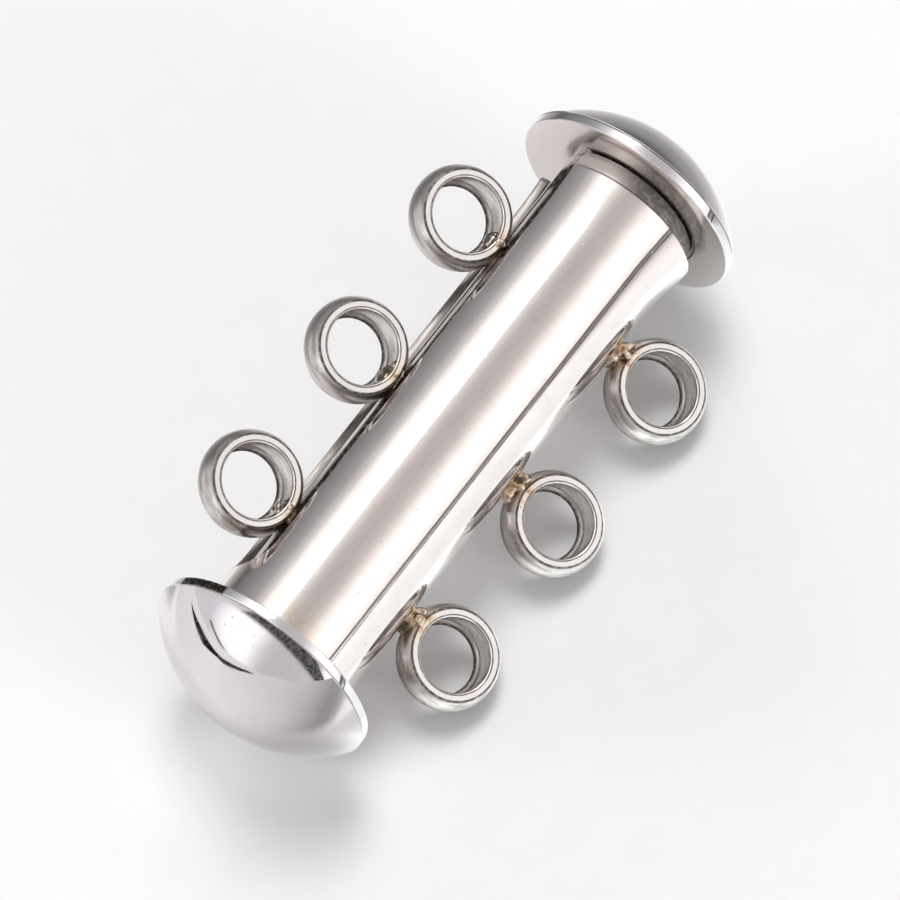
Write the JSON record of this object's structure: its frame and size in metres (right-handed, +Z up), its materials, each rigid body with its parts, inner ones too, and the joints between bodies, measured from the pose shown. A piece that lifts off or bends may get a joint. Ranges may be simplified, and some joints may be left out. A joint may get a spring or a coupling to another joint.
{
  "type": "multi-strand clasp",
  "caption": "Slide-lock tube clasp for a multi-strand bracelet or necklace: a slotted sleeve with a row of rings, and a slider with its own row that slides into it.",
  "frame": {"origin": "under the middle of the clasp, on the surface that it lies on", "axes": "+X along the tube, from the sleeve's closed end to the end where the slider pulls out; +Y across, towards the slider's rings; +Z up"},
  "size_m": [0.0212, 0.0088, 0.0068],
  "materials": {
    "tube_steel": "polished stainless steel, with heat tint at the soldered rings",
    "cap_steel": "polished stainless steel dome, satin flat underside"
  },
  "bodies": {
    "sleeve": {"sleeve": "tube_steel", "sleeve_cap": "cap_steel"},
    "slider": {"slider": "tube_steel", "slider_cap": "cap_steel"}
  },
  "joints": [
    {"name": "slider_slide", "type": "slide", "parent": "sleeve", "child": "slider", "axis": [1, 0, 0], "range_m": [0, 0.014]}
  ]
}
